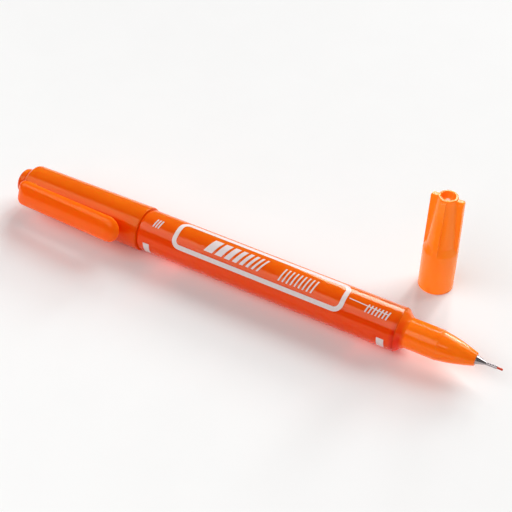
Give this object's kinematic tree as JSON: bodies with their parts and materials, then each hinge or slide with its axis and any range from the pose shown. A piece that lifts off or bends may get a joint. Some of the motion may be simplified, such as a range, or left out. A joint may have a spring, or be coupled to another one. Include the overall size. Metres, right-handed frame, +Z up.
{
  "type": "twin-tip felt marker",
  "caption": "Slim twin-tip felt marker with a needle nib in a steel sleeve, a long cap with pocket clip on the other end, and a finned small cap standing beside it.",
  "frame": {"origin": "on the pen's axis at the foot of the front neck, where the small cap's mouth stops", "axes": "+X along the pen towards the needle nib, +Z up; the table is 5.65 mm below the axis, and the small cap stands on it on the +Y side"},
  "size_m": [0.1325, 0.0384, 0.0271],
  "materials": {
    "barrel_plastic": "glossy, slightly translucent",
    "nose_plastic": "glossy, translucent",
    "cap_plastic": "soft gloss, slightly translucent",
    "small_cap_plastic": "soft gloss, translucent",
    "sleeve_steel": "drawn and polished",
    "nib_plastic": "wet with ink",
    "inked_fibre": "ink-soaked fibre bundle",
    "inked_felt": "ink-soaked bonded fibre",
    "clear_film": "thin clear film",
    "seal_plastic": "natural soft moulding",
    "small_seal_plastic": "natural soft moulding"
  },
  "bodies": {
    "barrel": {"barrel_tube": "barrel_plastic", "front_nose": "nose_plastic", "needle_sleeve": "sleeve_steel", "needle_nib": "nib_plastic", "relay_wick": "inked_fibre", "ink_reservoir": "inked_fibre", "reservoir_film": "clear_film", "rear_nose": "nose_plastic", "bullet_nib": "inked_felt"},
    "long_cap": {"long_cap_shell": "cap_plastic", "long_cap_seal": "seal_plastic", "tail_plug": "cap_plastic"},
    "clip": {"pocket_clip": "cap_plastic"},
    "small_cap": {"small_cap_shell": "small_cap_plastic", "small_cap_seal": "small_seal_plastic"}
  },
  "joints": [
    {"name": "long_cap_pull", "type": "slide", "parent": "barrel", "child": "long_cap", "axis": [-1, 0, 0], "range_m": [0, 0.03]},
    {"name": "clip_flex", "type": "hinge", "parent": "long_cap", "child": "clip", "pos_m": [-0.1036, -0.00561, 0.00227], "axis": [0, -0.3746, -0.9272], "range_deg": [0, 5], "stiffness_Nm_per_rad": 0.7},
    {"name": "small_cap_lift", "type": "slide", "parent": "barrel", "child": "small_cap", "axis": [0, 0, 1], "range_m": [0, 0.024]}
  ]
}
